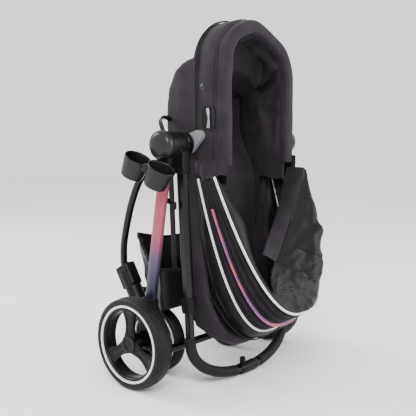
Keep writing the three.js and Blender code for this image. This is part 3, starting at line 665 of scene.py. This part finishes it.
# ------------ front frame and casters
HALF_TUBE = ((-157.2, -56, 533), (-157.2, 0, 500), (-156, 60, 462), (-154, 96, 404), (-151, 122, 335),
             (-143, 141, 280), (-134, 146, 225), (-112, 142, 186), (-70, 136, 168))
TUBE_MIDDLE = (0, 134, 164)
EYE = ((6.5, 149.2), (24.5, 149.2), (26, 150.6), (26, 164), (24.5, 165.4), (6.5, 165.4))
tube_points = [P(*p) for p in (*HALF_TUBE, TUBE_MIDDLE)] + [P(-x, y, z) for x, y, z in reversed(HALF_TUBE)]
bent = grid(swept(spaced(catmull(tube_points, 220), 150), circle(8.5, 22)), closed_cols=True, cap=True)
eyes = [turned(EYE, (0, *HINGE), side, 56) for name, side in SIDES]
join_meshes("front_tube", [bent, *eyes], "frame", "front_legs", "black_frame", ["front_frame"], 45)
for name, side in SIDES:
    moulded(f"caster_housing_{name}", "plastic", "front_legs")
    moulded(f"caster_fork_{name}", "plastic", f"caster_{name}", 0.0015, 2)
    resurface(f"front_axle_{name}", "steel")

# ------------ carrier
# The carrier's outline from the front: half its width, and its arch's foot, height and squareness.
TUB_HALF, ARCH_Z, ARCH_RISE, ARCH_POWER = 128, 682, 118, 2.4
SHOULDER_Z = 600  # the head end's cloth is loose above this height


def arch(inset, count):
    """The arch's (x, z), from left to right, inset mm inside the outline."""
    out = []
    for i in range(count + 1):
        angle = math.pi * (1 - i / count)
        across = signed_power(math.cos(angle), 2 / ARCH_POWER)
        up = max(math.sin(angle), 0) ** (2 / ARCH_POWER)
        out.append(((TUB_HALF - inset) * across, ARCH_Z + (ARCH_RISE - inset) * up))
    return out


def over(inset, y, low, count):
    """Points up the left side of the carrier, over its arch and down the right side."""
    half = TUB_HALF - inset
    line = [Vector((-half, 0, low)), Vector((-half, 0, SHOULDER_Z))]
    line += [Vector((x, 0, z)) for x, z in arch(inset, 40)]
    line += [Vector((half, 0, SHOULDER_Z)), Vector((half, 0, low))]
    return [P(p.x, y, p.z) for p in spaced(line, count)]


def settle(p):
    """The empty head end leans: the rim's crown stands up on the near side and sinks on the far side, more so
    at the front, and the bag behind the rim sinks as a whole."""
    x, y, z = p.x * 1000, p.y * 1000 - CENTRE_Y, p.z * 1000
    height = ease((z - SHOULDER_Z) / 140)
    far = ease((x + 30) / 95)
    front = clamp((-y - 70) / 80)
    behind = clamp((y + 82) / 9)
    sink = behind * (24 * clamp((z - 640) / 100))
    return p + UP * ((height * (8 - far * (10 + 13 * front)) - sink) / 1000)


def soft_shell(cad_node, name, material, body, voxel, puff):
    """A sewn shell from its CAD solid: even mesh, rounded edges, then bulges of puff(point) mm."""
    made = bpy.data.objects.new(name + "_source", welded(cad_node, name + "_source"))
    bpy.context.scene.collection.objects.link(made)
    round_over(made, voxel, 8)
    depsgraph = bpy.context.evaluated_depsgraph_get()
    result = bpy.data.meshes.new_from_object(made.evaluated_get(depsgraph))
    result.name = name
    bpy.data.objects.remove(made)
    normals = [v.normal.copy() for v in result.vertices]
    for vertex, normal in zip(result.vertices, normals):
        vertex.co = settle(vertex.co + normal * puff(vertex.co) / 1000)
    return finish_piece(name, result, material, body, [cad_node])


HEAD_END_Z, RIM_BACK_Y = 480, -80  # the head end starts at this height, and its rim ends at this depth


def shell_puff(p):
    """How far the bag, the rim and the lower half bulge, each in its own place."""
    y, z = p.y * 1000 - CENTRE_Y, p.z * 1000
    uneven = 1.6 * wrinkle(p, 55, 3.1) + 0.7 * wrinkle(p, 22, 8.2)
    if z <= HEAD_END_Z:
        return uneven + 2.0 * hump(z, 280, 120)
    if y > RIM_BACK_Y:
        return uneven + 5.0 * hump(y, -38, 26) * hump(z, 620, 90)
    return uneven + 2.4 * hump(y, -112, 18)


soft_shell("carrier_tub", "carrier_shell", "cloth", "carrier", 0.0042, shell_puff)

# The rim's zip tape, the seams beside it and the stitched edge of its front.
for tag, inset, y, section, material in (
    ("zip_tape", -1.6, -80.5, [(2.0, 5.2), (-1.2, 5.2), (-1.2, -5.2), (2.0, -5.2)], "zip"),
    ("zip_cord", -3.2, -83.0, circle(1.5, 8), "dark"),
    ("rim_seam", -2.2, -86.5, circle(1.2, 8), "cloth"),
    ("front_seam", -2.4, -132.5, circle(1.0, 8), "cloth"),
):
    points = [settle(p) for p in over(inset, y, 505, 110)]
    tube(tag, points, section, material, "carrier", "black_fabric", across=-RIGHT, sharp=60)

# The padded lip carries the rim on forwards as one soft band, with a sewn groove along its middle.
LIP_SIDES = 44
lip_section = []
for k in range(LIP_SIDES):
    angle = 2 * math.pi * k / LIP_SIDES
    a, b = 14.0 * signed_power(math.cos(angle), 0.62), 13.0 * signed_power(math.sin(angle), 0.62)
    groove = 2.2 * hump(b, 3.0, 1.5) if math.cos(angle) > 0 else 0.0
    lip_section.append((a - groove, b))
lip_rows = swept(over(14.5, -151.0, 492, 110), lip_section, -RIGHT)
for row in lip_rows:
    outwards = (row[0] - row[LIP_SIDES // 2]).normalized()
    for k, p in enumerate(row):
        uneven = 1.5 * wrinkle(p, 48, 1.7) + 0.8 * wrinkle(p, 17, 5.0)
        row[k] = settle(p + outwards * (uneven if k < 12 or k > 32 else 1.6 * uneven) / 1000)
verts, faces = grid(lip_rows, closed_cols=True, cap=True)
lip = piece("carrier_lip_roll", verts, faces, "cloth", "carrier", "grey_fabric", ["carrier_lip"])

# The lining inside the arch hangs in loose folds from the lip to the back.
TOP_Z = ARCH_Z + ARCH_RISE
CEILING = ((-94, 790), (-82, 726), (-54, 718), (-26, 690), (-7, 645))


def ceiling(y):
    """How high the inside of the head end reaches at depth y, both in mm."""
    if y <= CEILING[0][0]:
        return TOP_Z
    for (y0, z0), (y1, z1) in zip(CEILING, CEILING[1:]):
        if y <= y1:
            return z0 + (z1 - z0) * (y - y0) / (y1 - y0)
    return CEILING[-1][1]


lining_rows = []
for i in range(61):
    t = i / 60
    y = -152 + 130 * t
    row = []
    low = 448 if y < -84 else 448 - 110 * min(1, (y + 84) / 14)
    inset = 21 + 5 * math.sin(math.pi * t)
    squeeze = min(1, (ceiling(y) - SHOULDER_Z) / (TOP_Z - inset - SHOULDER_Z))
    for p in over(inset, y, low, 160):
        if p.z > SHOULDER_Z / 1000:
            p.z = SHOULDER_Z / 1000 + (p.z - SHOULDER_Z / 1000) * squeeze
        centre = P(0, y, 640)
        inward = (centre - p).normalized()
        around = math.atan2(p.z - centre.z, p.x)
        sharp = 1 - math.sqrt(wrinkle(Vector((p.x, p.y * 1.6, p.z)), 105, 6.0) ** 2 + 0.004) * 1.6
        fold = 0.5 + 0.5 * math.sin(11 * around + 6 * t + 2.6 * wrinkle(p, 110, 4.0))
        depth = (6 * fold ** 1.6 + 13 * max(sharp, 0) ** 1.5) * math.sin(math.pi * min(1, t * 1.25 + 0.04))
        row.append(settle(p + inward * depth / 1000))
    lining_rows.append(row)
lining = piece("carrier_lining", *grid(lining_rows), "lining", "carrier", "grey_fabric")
thick(lining, 1.2)

# A loop of webbing tethers the head end inside, on the far side.
tether = catmull([P(96, -140, 716), P(88, -128, 690), P(94, -96, 668), P(98, -60, 672), P(99, -40, 690)], 30)
tube("tether", tether, rounded(0.8, 6, 0.7, 2), "web", "carrier", "black_fabric")

# The pad that lies down the back of the carrier, bent where the bag meets the lower half.
PAD_SPINE = ((-72, 192), (-68, 300), (-67, 400), (-60, 470), (-38, 520), (-17, 575), (-16, 645))
PAD_HALF, PAD_THICK, PAD_STEPS = 102, 7.5, 60
spine = catmull([P(0, y, z) for y, z in PAD_SPINE], PAD_STEPS)
pad_rows = []
for i, point in enumerate(spine):
    ahead = (spine[min(i + 1, PAD_STEPS)] - spine[max(i - 1, 0)]).normalized()
    out = (-RIGHT).cross(ahead)
    t = i / PAD_STEPS
    end = min(1.0, 0.25 + min(t, 1 - t) * 14)
    channel = sum(1.6 * hump(t, seam, 0.012) for seam in (0.25, 0.5, 0.75))
    ring = []
    for k in range(48):
        angle = 2 * math.pi * k / 48
        a = PAD_HALF * signed_power(math.cos(angle), 0.55)
        b = PAD_THICK * signed_power(math.sin(angle), 0.8) * end
        b *= 1 + 0.25 * math.cos(math.pi * a / PAD_HALF)
        p = point + (RIGHT * a + out * b) / 1000
        p -= out * math.copysign(channel, math.sin(angle)) / 1000
        ring.append(p + out * 0.0012 * wrinkle(p, 45, 2.0))
    pad_rows.append(ring)
pad_mesh = grid(pad_rows, closed_cols=True, cap=True)
pad = piece("carrier_pad", *pad_mesh, "lining", "carrier", "black_fabric", ["carrier_mat"])

for name, side in SIDES:
    moulded(f"carrier_adapter_{name}", "adapter", "carrier")
    moulded(f"canopy_hub_{name}", "plastic", "carrier", 0.0013, 2)
    rivet = [(0.2, 131.6), (3.2, 131.9), (4.6, 131.2), (5.6, 131.6), (7.6, 130.9), (8.2, 129.6), (8.2, 127),
             (0.2, 127)]
    lathe(f"rivet_{name}", rivet, (0, -104, 659), side, "hinge", "carrier", "hinge_plastic", segments=32)
hoop = [settle(p) for p in over(6.0, -118, 485, 120)]
BACK = Vector((0, 1, 0))
tube("rim_hoop_wire", hoop, circle(3.6, 12), "steel", "carrier", "steel", ["rim_hoop"], across=BACK)

# ------------ canopy
BOW_STEPS = 96


def bow_line(half, start, tip, squareness=2.7):
    """A bow from its left pivot round its tip to its right pivot. start and tip are (y, z)."""
    power = 2 / squareness
    line = []
    for i in range(201):
        angle = math.pi / 2 * (2 * i / 200 - 1)
        across = signed_power(math.sin(angle), power)
        down = max(math.cos(angle), 0) ** power
        y, z = (a + (b - a) * down for a, b in zip(start, tip))
        line.append(P(half * across, y, z))
    return spaced(line, BOW_STEPS)


BOW_HALF = 134
BOW_REAR = ((-94, 462), (-196, 118))
BOW_FRONT = ((-140, 468), (-284, 172))
rear_line = bow_line(BOW_HALF, *BOW_REAR)
front_line = bow_line(BOW_HALF, *BOW_FRONT)
INSIDE = P(0, -150, 430)  # a point that every outward direction of the canopy points away from


def between(line_a, line_b, steps, shape):
    """Rows from line a to line b. shape(t, s, point, outward) gives each point's final place."""
    rows = []
    last = len(line_a) - 1
    for k in range(steps + 1):
        t = k / steps
        row = []
        for i, (a, b) in enumerate(zip(line_a, line_b)):
            p = a.lerp(b, t)
            along = line_a[min(i + 1, last)] - line_a[max(i - 1, 0)]
            outward = along.cross(b - a)
            outward = outward.normalized() if outward.length > 1e-12 else UP.copy()
            if outward.dot(p - INSIDE) < 0:
                outward.negate()
            row.append(shape(t, i / last, p, outward))
        rows.append(row)
    return rows


def lifted(line_a, line_b, t, lift):
    """The line t of the way from line a to line b, lift mm out from the canopy."""
    line = [a.lerp(b, t) for a, b in zip(line_a, line_b)]
    return [p + (p - INSIDE).normalized() * lift / 1000 for p in line]


def piping_section(t):
    return circle(2.7 + 0.1 * math.sin(t * 240), 12)


for tag, line, body in (("rear", rear_line, "canopy_middle"), ("front", front_line, "canopy_front")):
    piping = lifted(line, line, 0, 1)
    tube(f"piping_{tag}", piping, piping_section, "piping", body, "trim_white", [f"canopy_bow_{tag}"])

# Cloth between two bodies: each table names both bodies and gives two points.
ACROSS_PLEATS = ("canopy_middle", "canopy_front", P(0, -234.9, 91.2), P(0, -281.5, 109.3))
ACROSS_COVER = ("carrier", "canopy_middle", P(0, -180.3, 53.4), P(0, -210.0, 62.2))
FOLDS = 5


def pleat_shape(t, s, p, outward):
    ends = min(1.0, 0.18 + 5.5 * min(s, 1 - s))
    ridge = abs(((t * FOLDS) % 1.0) - 0.5) * 2
    depth = 11 * (1 - ridge) ** 1.3 * ends
    loose = 1.6 * wrinkle(p, 60, 9.0)
    return p + outward * ((3.0 - depth + loose) * min(1, 9 * t, 9 * (1 - t)) - 1.2) / 1000


pleat_rows = between(rear_line, front_line, 50, pleat_shape)
pleats = piece("pleats", *grid(pleat_rows), "pleat", ACROSS_PLEATS, "pleats", ["canopy_pleats"])
thick(pleats, 0.9)
zip_line = lifted(rear_line, front_line, 0.42, 3.5)[8:-8]
tube("pink_zip", zip_line, rounded(1.1, 4.0, 1.0, 2), "pink", ACROSS_PLEATS, "pleats", across=-BACK)

EDGE = ((88, -172), (100, -170), (136, -146), (200, -112), (300, -96), (400, -88), (490, -85))


def edge_y(z):
    """How far forward the lower half's edge lies at height z, both in mm."""
    for (z0, y0), (z1, y1) in zip(EDGE, EDGE[1:]):
        if z <= z1:
            return y0 + (y1 - y0) * clamp((z - z0) / (z1 - z0))
    return EDGE[-1][1]


seam_line = []
for p in bow_line(126, (-88, 478), (-172, 94), squareness=2.9):
    seam_line.append(P(p.x * 1000, edge_y(p.z * 1000) + 5, p.z * 1000))


def cover_shape(t, s, p, outward):
    puffed = (5.0 + 3.5 * wrinkle(p, 70, 12.0) + 1.4 * wrinkle(p, 26, 13.0)) * math.sin(math.pi * t)
    return p + outward * (puffed - 1.2) / 1000


cover_rows = between(seam_line, rear_line, 16, cover_shape)
cover = piece("back_cover", *grid(cover_rows), "net", ACROSS_COVER, "mesh", ["canopy_back_cover"])
thick(cover, 0.9)
for tag, t in (("cover_seam_low", 0.02), ("cover_seam_high", 0.36)):
    line = lifted(seam_line, rear_line, t, 4)[4:-4]
    tube(tag, line, circle(1.3, 8), "cloth", ACROSS_COVER, "grey_fabric")

# The slack front cover hangs from the front bow. On the far side it bags out and ends in a flat band.
# Both tables give (how far along the bow, x, y, z): where the cover's crest and its hem lie on the far side.
FAR_CREST = ((0.42, -62, -256, 238), (0.47, -28, -274, 216), (0.52, 8, -280, 206), (0.6, 58, -274, 230),
             (0.7, 104, -264, 274), (0.82, 130, -244, 342), (0.92, 135, -213, 412), (1.0, 131, -190, 466))
FAR_HEM = ((0.42, -84, -238, 262), (0.47, -56, -236, 268), (0.53, -30, -224, 280), (0.6, -8, -214, 277),
           (0.7, 22, -208, 312), (0.82, 66, -199, 362), (0.92, 100, -196, 424), (1.0, 124, -194, 480))
VISOR_STEPS = 44
CREST_AT = 0.42  # where the crest lies between the bow and the hem


def along_table(table, s):
    for a, b in zip(table, table[1:]):
        if s <= b[0]:
            f = ease((s - a[0]) / (b[0] - a[0]))
            return P(*(u + (v - u) * f for u, v in zip(a[1:], b[1:])))
    return P(*table[-1][1:])


def far_share(i):
    """How far the cover has gone over from its near shape to its far one at point i of the bow."""
    return clamp((i / (len(front_line) - 1) - 0.36) / 0.1)


def visor_point(i, t):
    """A point of the smooth cover, t of the way from the bow over the crest to the hem."""
    s = i / (len(front_line) - 1)
    start = front_line[i]
    inward = (P(0, -190, 400) - start).normalized()
    near_hem = start + inward * (9 + 22 * hump(s, 0.15, 0.08)) / 1000
    near_crest = start.lerp(near_hem, 0.5) - BACK * 0.0025
    crest = near_crest.lerp(along_table(FAR_CREST, s), far_share(i))
    hem = near_hem.lerp(along_table(FAR_HEM, s), far_share(i))
    rest = 1 - CREST_AT
    pull = (crest - start * rest ** 2 - hem * CREST_AT ** 2) / (2 * CREST_AT * rest)
    return start * (1 - t) ** 2 + pull * 2 * t * (1 - t) + hem * t ** 2


visor_base = [
    [visor_point(i, k / VISOR_STEPS) for i in range(len(front_line))] for k in range(VISOR_STEPS + 1)
]
visor_rows = []
for k, base in enumerate(visor_base):
    row = []
    bell = math.sin(math.pi * k / VISOR_STEPS) ** 0.7
    for i, p in enumerate(base):
        along = base[min(i + 1, len(base) - 1)] - base[max(i - 1, 0)]
        down = visor_base[min(k + 1, VISOR_STEPS)][i] - visor_base[max(k - 1, 0)][i]
        normal = along.cross(down).normalized()
        mix = far_share(i)
        fan = math.atan2(p.z - 0.27, p.x + 0.02)
        fanned = Vector((0.16 * fan, 0.6 * (p - P(-20, -224, 270)).length, 0.1))
        crease = 1 - 2.0 * math.sqrt(wrinkle(fanned, 44, 15.0) ** 2 + 0.02)
        crumple = (1.0 + 5.5 * mix) * crease + (0.5 + 2.4 * mix) * wrinkle(p, 34, 21.0)
        row.append(p - normal * crumple * bell / 1000)
    visor_rows.append(row)
visor = piece("visor", *grid(visor_rows), "net", "canopy_front", "mesh", ["canopy_front_cover"])
thick(visor, 0.9)
hem_line = visor_rows[-1][2:44]
hem = tube("visor_hem", hem_line, rounded(1.2, 4.0, 1.0, 2), "dark", "canopy_front", "black_fabric",
           across=-BACK, sharp=None)
BAND_EDGE = ((121, -150, 478), (92, -156, 420), (56, -166, 374), (4, -184, 334), (-52, -208, 298))
band_left = spaced(catmull([P(*point) for point in BAND_EDGE], 60), 40)
band_right = spaced(visor_rows[-1][:53:-1], 40)
tenths = [j / 10 for j in range(11)]
band_rows = []
for a, b in zip(band_left, band_right):
    out = (b - a).cross(Vector((0.5, 0.2, 0.8))).normalized()
    band_rows.append([a.lerp(b, t) + out * (2.2 * math.sin(math.pi * t)) / 1000 for t in tenths])
band = piece("visor_band", *grid(band_rows), "lining", "canopy_front", "black_fabric")
thick(band, 1.6)

# The slack cover, its band and its hem each get a mesh of their own.
for soft in (visor, band, hem):
    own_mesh(soft)

# The rim's cloth is gathered over the canopy pivots on both sides, and a slot above shows a steel link in
# front of a dark strip of painted shade.
def slot_section(t):
    return rounded(0.5, 2 + 15 * max(0, 1 - abs(2 * t - 1) ** 4) ** 0.5, 0.4, 2)


def link_section(t):
    return rounded(1.2, 3.8 - 1.6 * math.sin(math.pi * t) ** 8, 1.0, 3)


LINK = ((130.6, -119, 572), (131.4, -121, 593), (130.6, -117, 614))
for name, side in SIDES:
    cuff_rows = []
    for i in range(21):
        t = i / 20
        row = []
        for j in range(61):
            s = j / 60
            top = P(side * 125.5, -76 - 94 * s, 508)
            low = P(side * (128 + 9 * math.sin(math.pi * s)), -82 - 86 * s, 452 + 22 * s)
            p = top.lerp(low, t)
            out = 7 * math.sin(math.pi * min(1, t * 1.2)) * math.sin(math.pi * s) ** 0.5
            gather = 2.6 * t * math.sin(26 * s + 3 * wrinkle(p, 60, 33.0)) + 1.6 * wrinkle(p, 20, 35.0) * t
            ripple = 2.5 * t * math.sin(17 * s)
            row.append(p + Vector((side * (out + gather), 0, ripple)) / 1000)
        cuff_rows.append(row)
    cuff = piece(f"pivot_cuff_{name}", *grid(cuff_rows), "cloth", "carrier", "grey_fabric")
    thick(cuff, 1.2)
    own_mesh(cuff)
    # A thin strip of black cloth inside the slot's opening is painted shade.
    slot = [settle(P(side * 129.6, -118, 568 + 50 * k / 24)) for k in range(25)]
    tube(f"slot_shade_{name}", slot, slot_section, "dark", "carrier", "black_fabric")
    edge = []
    for k in range(49):
        turn = 2 * math.pi * k / 48
        wide, high = 17.5 * signed_power(math.cos(turn), 0.6), 26 * signed_power(math.sin(turn), 0.6)
        edge.append(P(side * 130.0, -118 + wide, 593 + high))
    tube(f"slot_edge_{name}", edge, circle(1.1, 8), "cloth", "carrier", "grey_fabric")
    link_line = catmull([P(side * x, y, z) for x, y, z in LINK], 24)
    tube(f"hoop_link_{name}", link_line, link_section, "steel", "carrier", "steel")

# ------------ basket
BASKET_FLOOR = 168
BASKET_TOPS = (262, 262, 322, 322)  # the brim's height at its corners, the rear ones first


def basket_ring(t):
    """The basket's outline at height t from its floor to its brim, as points in mm."""
    back, front = -32 - 2 * t, 78 + 26 * t
    wide_back, wide_front = 186 + 4 * t, 118 + 10 * t
    corners = [(-wide_back, back), (wide_back, back), (wide_front, front), (-wide_front, front)]
    out = []
    for k in range(4):
        (x0, y0), (x1, y1) = corners[k], corners[(k + 1) % 4]
        z0, z1 = (BASKET_FLOOR + (BASKET_TOPS[j] - BASKET_FLOOR) * t for j in (k, (k + 1) % 4))
        for i in range(16):
            f = i / 16
            sag = 20 * math.sin(math.pi * f) * t ** 2
            pinch = 5 * math.sin(math.pi * f) * (1 - t)
            x, y = x0 + (x1 - x0) * f, y0 + (y1 - y0) * f
            toward = Vector((-x, 20 - y, 0)).normalized() * (pinch - 2)
            out.append(Vector((x, y, z0 + (z1 - z0) * f - sag)) + toward)
    return out


basket_rows = []
for i in range(19):
    t = i / 18
    row = []
    for k, q in enumerate(basket_ring(t)):
        gather = 1.6 * math.sin(k * 2.6) * max(0, (t - 0.8) / 0.2)
        p = P(q.x, q.y, q.z)
        bulge = 4.5 * wrinkle(p, 55, 30.0) * math.sin(math.pi * min(1, t + 0.1))
        push = gather + bulge + 1.2 * wrinkle(p, 20, 31.0)
        row.append(p + Vector((q.x, q.y - 20, 0)).normalized() * push / 1000)
    basket_rows.append(row)
centre = P(0, 20, 170)
floor_rows = [[centre.lerp(p, 0.02 + 0.98 * i / 6) for p in basket_rows[0]] for i in range(6)]
cloth_rows = floor_rows + basket_rows
cloth_mesh = grid(cloth_rows, closed_cols=True)
basket = piece("basket_cloth", *cloth_mesh, "net", "frame", "black_fabric", ["basket"])
thick(basket, 1.6, 1.0)
brim = basket_rows[-1] + basket_rows[-1][:2]
tube("basket_brim", brim, circle(3.2, 12), "dark", "frame", "black_fabric", across=UP)
for name, side in SIDES:
    strap = [P(side * 150, -24 - 12 * k / 10, 505 - 245 * k / 10) for k in range(11)]
    tube(f"basket_strap_{name}", strap, rounded(0.9, 8, 0.8, 2), "web", "frame", "black_fabric")

# ------------ stage, light and camera
def area_light(name, place, target, size, power):
    data = bpy.data.lights.new(name, "AREA")
    data.shape = "DISK"
    data.size = size
    data.energy = power
    made = bpy.data.objects.new(name, data)
    made.location = place
    made.rotation_euler = (Vector(target) - Vector(place)).to_track_quat("-Z", "Y").to_euler()
    bpy.context.scene.collection.objects.link(made)


FLOOR_HALF = 6  # metres
floor_mesh = bpy.data.meshes.new("floor")
corners = [(x * FLOOR_HALF, y * FLOOR_HALF, 0) for x, y in ((-1, -1), (1, -1), (1, 1), (-1, 1))]
floor_mesh.from_pydata(corners, [], [(0, 1, 2, 3)])
floor = bpy.data.objects.new("floor", floor_mesh)
bpy.context.scene.collection.objects.link(floor)
floor_mesh.materials.append(varied("pale_floor", (0.93, 0.93, 0.93), (0.96, 0.96, 0.96), 0.8, 0.0, 40, 0.02))

world = bpy.data.worlds.new("studio")
bpy.context.scene.world = world
world.use_nodes = True
background = world.node_tree.nodes["Background"]
background.inputs["Color"].default_value = (0.93, 0.94, 0.96, 1)
background.inputs["Strength"].default_value = 1.55
area_light("key", (-2.2, -1.6, 2.2), (0, 0, 0.4), 1.4, 95)
area_light("fill", (1.6, -2.4, 1.3), (0, 0, 0.45), 1.6, 40)
area_light("rim", (-0.8, 2.4, 2.0), (0, 0, 0.5), 1.2, 60)

camera_data = bpy.data.cameras.new("camera")
camera_data.sensor_width = 36
camera_data.lens = 59.9
camera = bpy.data.objects.new("camera", camera_data)
camera.location = P(-1251.4, -1099.4, 572.4)
turn, pitch = math.radians(48.81), math.radians(-6.6)
look = Vector((math.sin(turn) * math.cos(pitch), math.cos(turn) * math.cos(pitch), math.sin(pitch)))
camera.rotation_euler = look.to_track_quat("-Z", "Y").to_euler()
bpy.context.scene.collection.objects.link(camera)
bpy.context.scene.camera = camera
